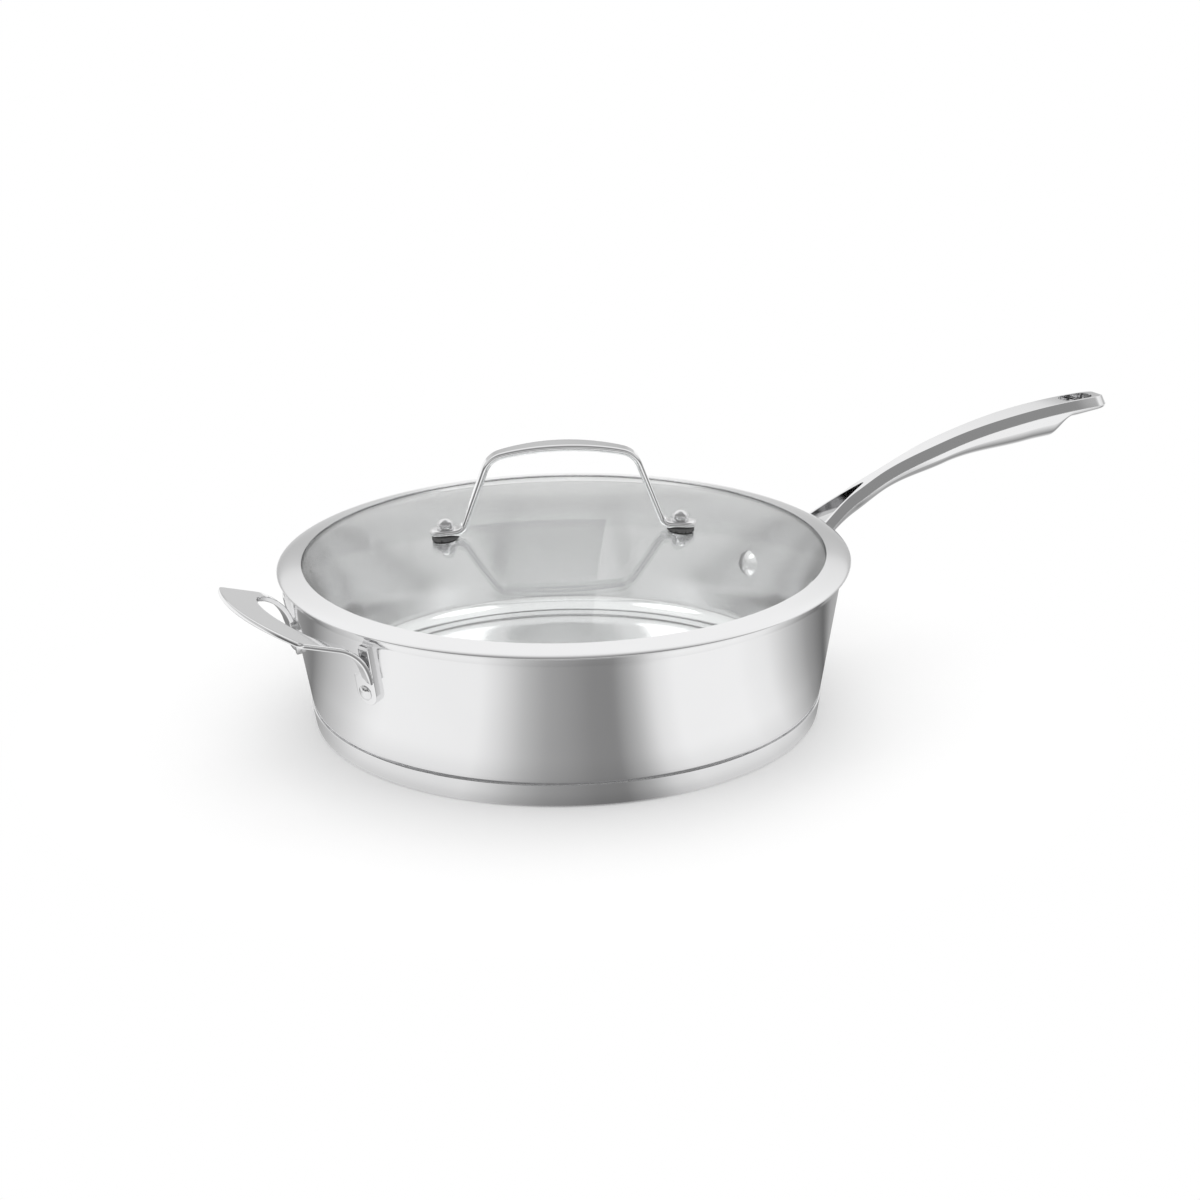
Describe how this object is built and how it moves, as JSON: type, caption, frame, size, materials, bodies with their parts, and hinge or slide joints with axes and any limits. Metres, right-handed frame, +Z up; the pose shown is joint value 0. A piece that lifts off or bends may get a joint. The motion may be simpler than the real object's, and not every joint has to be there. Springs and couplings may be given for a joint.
{
  "type": "saute pan with lid",
  "caption": "Wide steel saute pan with a long forked handle, a loop helper handle and a domed glass lid in a steel rim, topped by a strap handle.",
  "frame": {"origin": "centre of the resting face, on the pan's axis", "axes": "+Z up along the pan's axis, +X along the long handle, +Y to the left of it"},
  "size_m": [0.5558, 0.305, 0.149],
  "materials": {
    "polished_steel": "polished, with a fine brushed grain inside the pan",
    "cast_steel": "mirror polished casting",
    "rivet_steel": "polished",
    "aluminium": "plain, sealed in",
    "lid_glass": "clear tempered glass",
    "grommet_rubber": "matte dark rubber"
  },
  "bodies": {
    "pan": {"pan_body": "polished_steel", "base_core": "aluminium", "base_cap": "polished_steel", "long_handle": "cast_steel", "long_handle_rivets": "rivet_steel", "helper_handle": "cast_steel", "helper_handle_rivets": "rivet_steel"},
    "lid": {"lid_glass": "lid_glass", "lid_rim": "polished_steel", "lid_handle": "cast_steel", "lid_handle_screws": "rivet_steel", "lid_grommets": "grommet_rubber", "lid_washers": "rivet_steel", "lid_nuts": "rivet_steel"}
  },
  "joints": [
    {"name": "lid_lift", "type": "slide", "parent": "pan", "child": "lid", "axis": [0, 0, 1], "range_m": [0, 0.15]}
  ]
}
